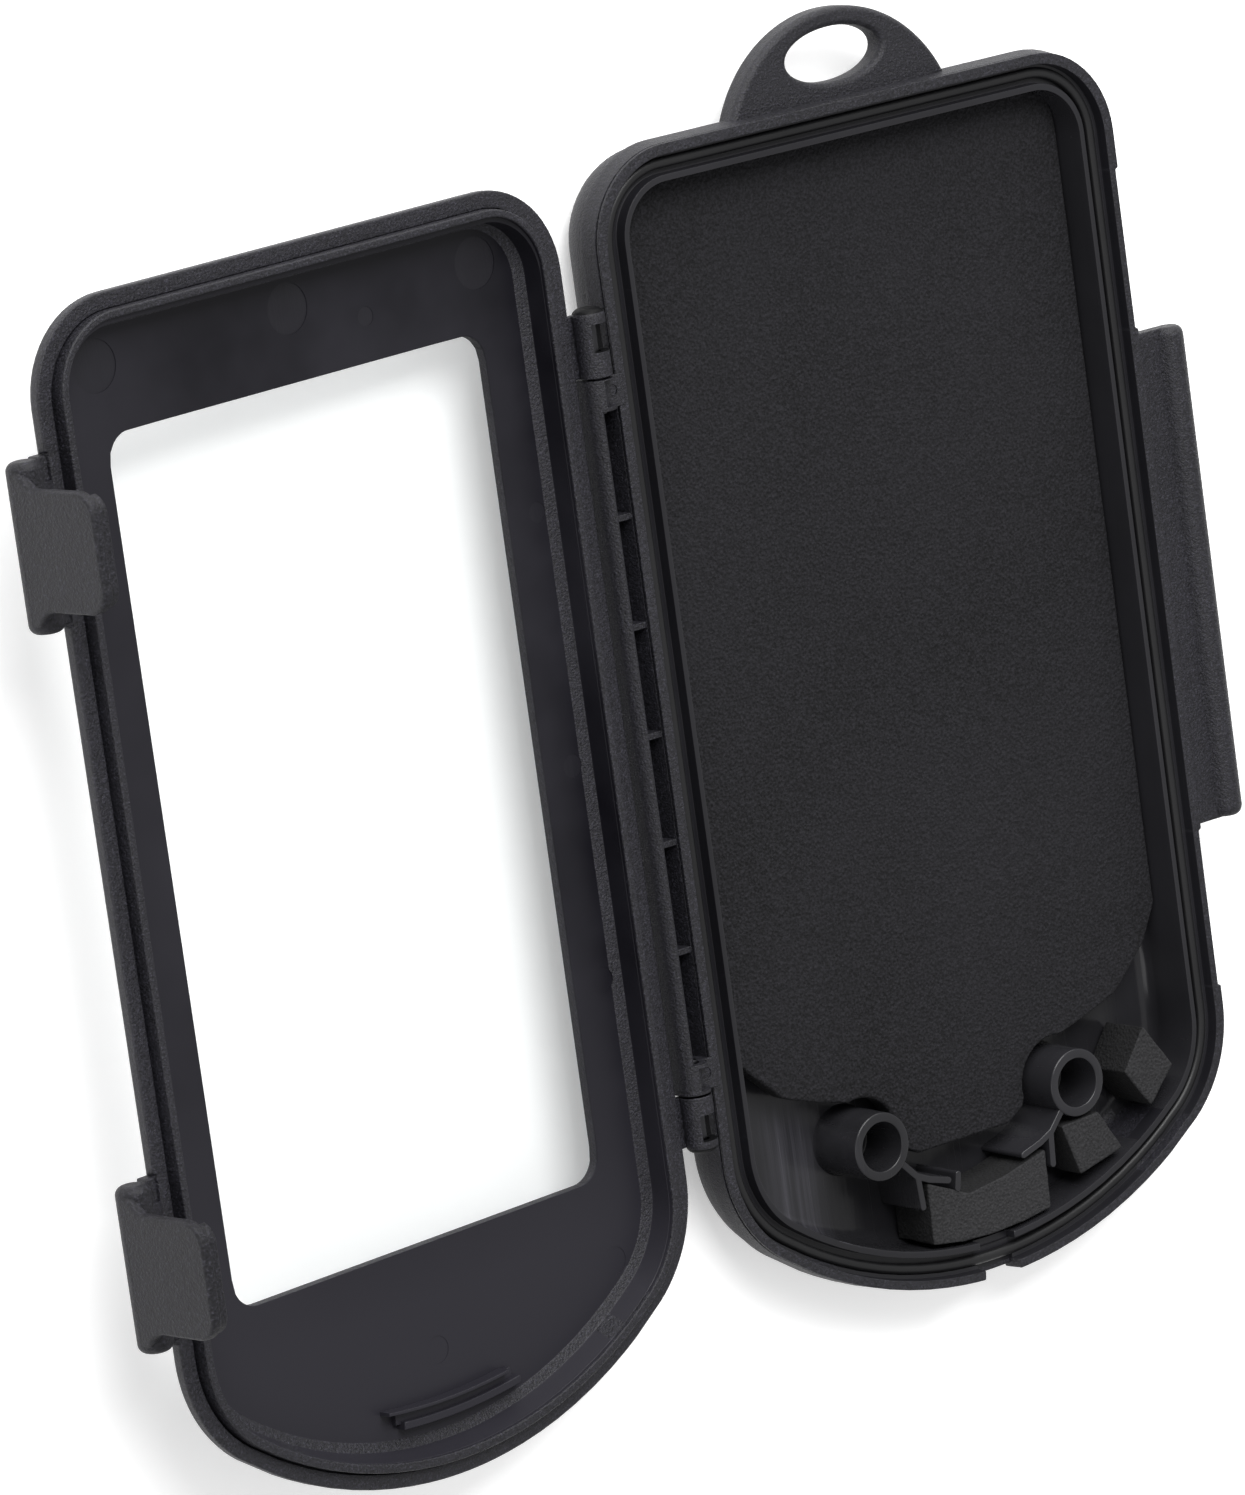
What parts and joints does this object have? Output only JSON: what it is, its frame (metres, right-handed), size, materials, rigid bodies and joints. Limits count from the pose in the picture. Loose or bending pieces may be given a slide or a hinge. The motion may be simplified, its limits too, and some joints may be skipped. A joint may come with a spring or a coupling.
{
  "type": "personal digital assistant protective case",
  "caption": "Hinged weatherproof case for a handheld computer, shown open: padded tray with gasket, cable foam and lanyard eye; windowed lid with side latches.",
  "frame": {"origin": "centre of the flat back of the tray, under the tray's own centre", "axes": "+Z out of the open tray, +Y along the case to the lanyard eye, +X away from the hinge"},
  "size_m": [0.2119, 0.1863, 0.0376],
  "materials": {
    "shell": "fine spark texture",
    "lid": "fine spark texture outside, satin inside",
    "latch": "fine spark texture",
    "seal": "smooth satin",
    "foam": "matte fine-celled foam",
    "block": "matte open-celled foam",
    "pin": "drawn",
    "film": "clear gloss"
  },
  "bodies": {
    "tray": {"base_shell": "shell", "rim_gasket": "seal", "foam_pad": "foam", "cable_foam": "block", "corner_foam_inner": "block", "corner_foam_outer": "block", "hinge_pin_upper": "pin", "hinge_pin_lower": "pin"},
    "lid": {"lid_frame": "lid", "window_film": "film", "latch_pin_upper": "pin", "latch_pin_lower": "pin"},
    "upper_latch": {"latch_upper": "latch"},
    "lower_latch": {"latch_lower": "latch"}
  },
  "joints": [
    {"name": "lid_hinge", "type": "hinge", "parent": "tray", "child": "lid", "pos_m": [-0.0508, 0, 0.0119], "axis": [0, 1, 0], "range_deg": [0, 174.4]},
    {"name": "upper_latch_pivot", "type": "hinge", "parent": "lid", "child": "upper_latch", "pos_m": [-0.15264, 0.0559, 0.02158], "axis": [0, 1, 0], "range_deg": [-70, 22]},
    {"name": "lower_latch_pivot", "type": "hinge", "parent": "lid", "child": "lower_latch", "pos_m": [-0.15264, -0.0428, 0.02158], "axis": [0, 1, 0], "range_deg": [-70, 22]}
  ]
}
